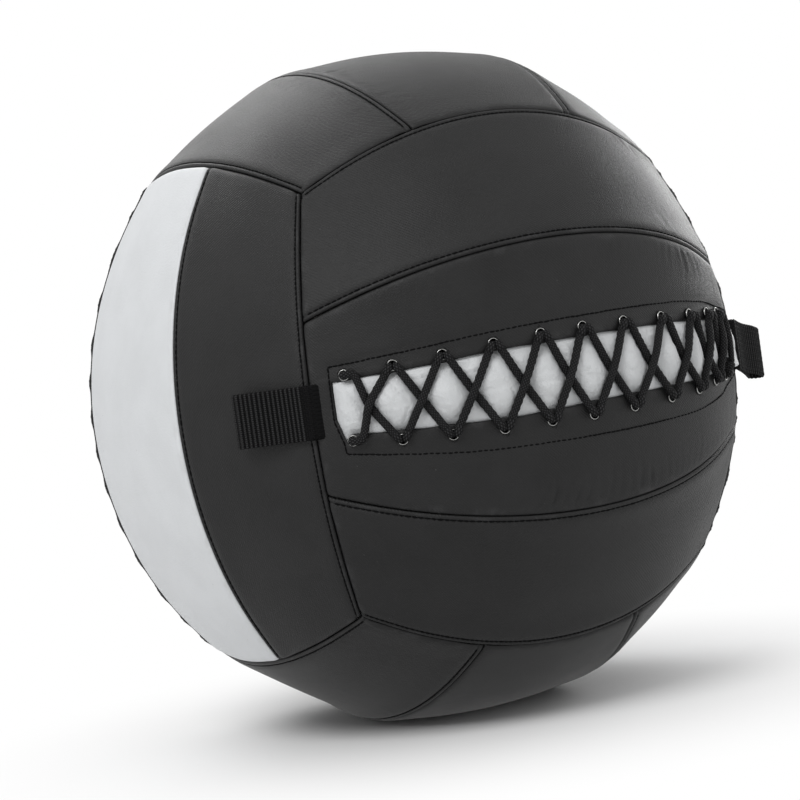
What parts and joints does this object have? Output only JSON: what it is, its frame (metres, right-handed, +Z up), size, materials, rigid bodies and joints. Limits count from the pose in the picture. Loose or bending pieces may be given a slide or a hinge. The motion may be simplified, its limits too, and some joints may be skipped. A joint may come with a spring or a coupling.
{
  "type": "wall ball",
  "caption": "Soft stuffed wall ball: a sewn shell of curved panels round a filled bag, laced shut in front over a tongue, with a webbing loop at each end of the lacing.",
  "frame": {"origin": "middle of the flat patch on which the ball rests, straight below the ball's centre", "axes": "+Z up, -Y out of the laced front, +X to the right for someone who looks at the laced front"},
  "size_m": [0.3348, 0.3562, 0.3565],
  "materials": {
    "black_panel": "satin",
    "silver_panel": "satin",
    "tongue": "satin",
    "eyelet": "polished",
    "lace": "matte",
    "webbing": "matte",
    "liner": "matte",
    "fill": "matte",
    "pouch": "matte"
  },
  "bodies": {
    "ball": {"front_upper_panel": "black_panel", "front_laced_panel": "black_panel", "front_lower_panel": "black_panel", "left_front_panel": "black_panel", "left_middle_panel": "silver_panel", "left_back_panel": "black_panel", "right_front_panel": "black_panel", "right_middle_panel": "silver_panel", "right_back_panel": "black_panel", "top_left_panel": "black_panel", "top_middle_panel": "black_panel", "top_right_panel": "black_panel", "bottom_left_panel": "black_panel", "bottom_middle_panel": "black_panel", "bottom_right_panel": "black_panel", "back_upper_panel": "black_panel", "back_middle_panel": "black_panel", "back_lower_panel": "black_panel", "eyelet_upper_01": "eyelet", "eyelet_upper_02": "eyelet", "eyelet_upper_03": "eyelet", "eyelet_upper_04": "eyelet", "eyelet_upper_05": "eyelet", "eyelet_upper_06": "eyelet", "eyelet_upper_07": "eyelet", "eyelet_upper_08": "eyelet", "eyelet_upper_09": "eyelet", "eyelet_upper_10": "eyelet", "eyelet_upper_11": "eyelet", "eyelet_lower_01": "eyelet", "eyelet_lower_02": "eyelet", "eyelet_lower_03": "eyelet", "eyelet_lower_04": "eyelet", "eyelet_lower_05": "eyelet", "eyelet_lower_06": "eyelet", "eyelet_lower_07": "eyelet", "eyelet_lower_08": "eyelet", "eyelet_lower_09": "eyelet", "eyelet_lower_10": "eyelet", "eyelet_lower_11": "eyelet", "lace": "lace", "lacing_tongue": "tongue", "inner_liner": "liner", "soft_fill": "fill", "weight_pouch": "pouch"},
    "left_loop": {"left_webbing_loop": "webbing"},
    "right_loop": {"right_webbing_loop": "webbing"}
  },
  "joints": [
    {"name": "left_loop_swing", "type": "hinge", "parent": "ball", "child": "left_loop", "pos_m": [-0.12566, -0.12955, 0.1765], "axis": [0, 0, 1], "range_deg": [0, 148]},
    {"name": "right_loop_swing", "type": "hinge", "parent": "ball", "child": "right_loop", "pos_m": [0.12566, -0.12955, 0.1765], "axis": [0, 0, -1], "range_deg": [-11, 134]}
  ]
}
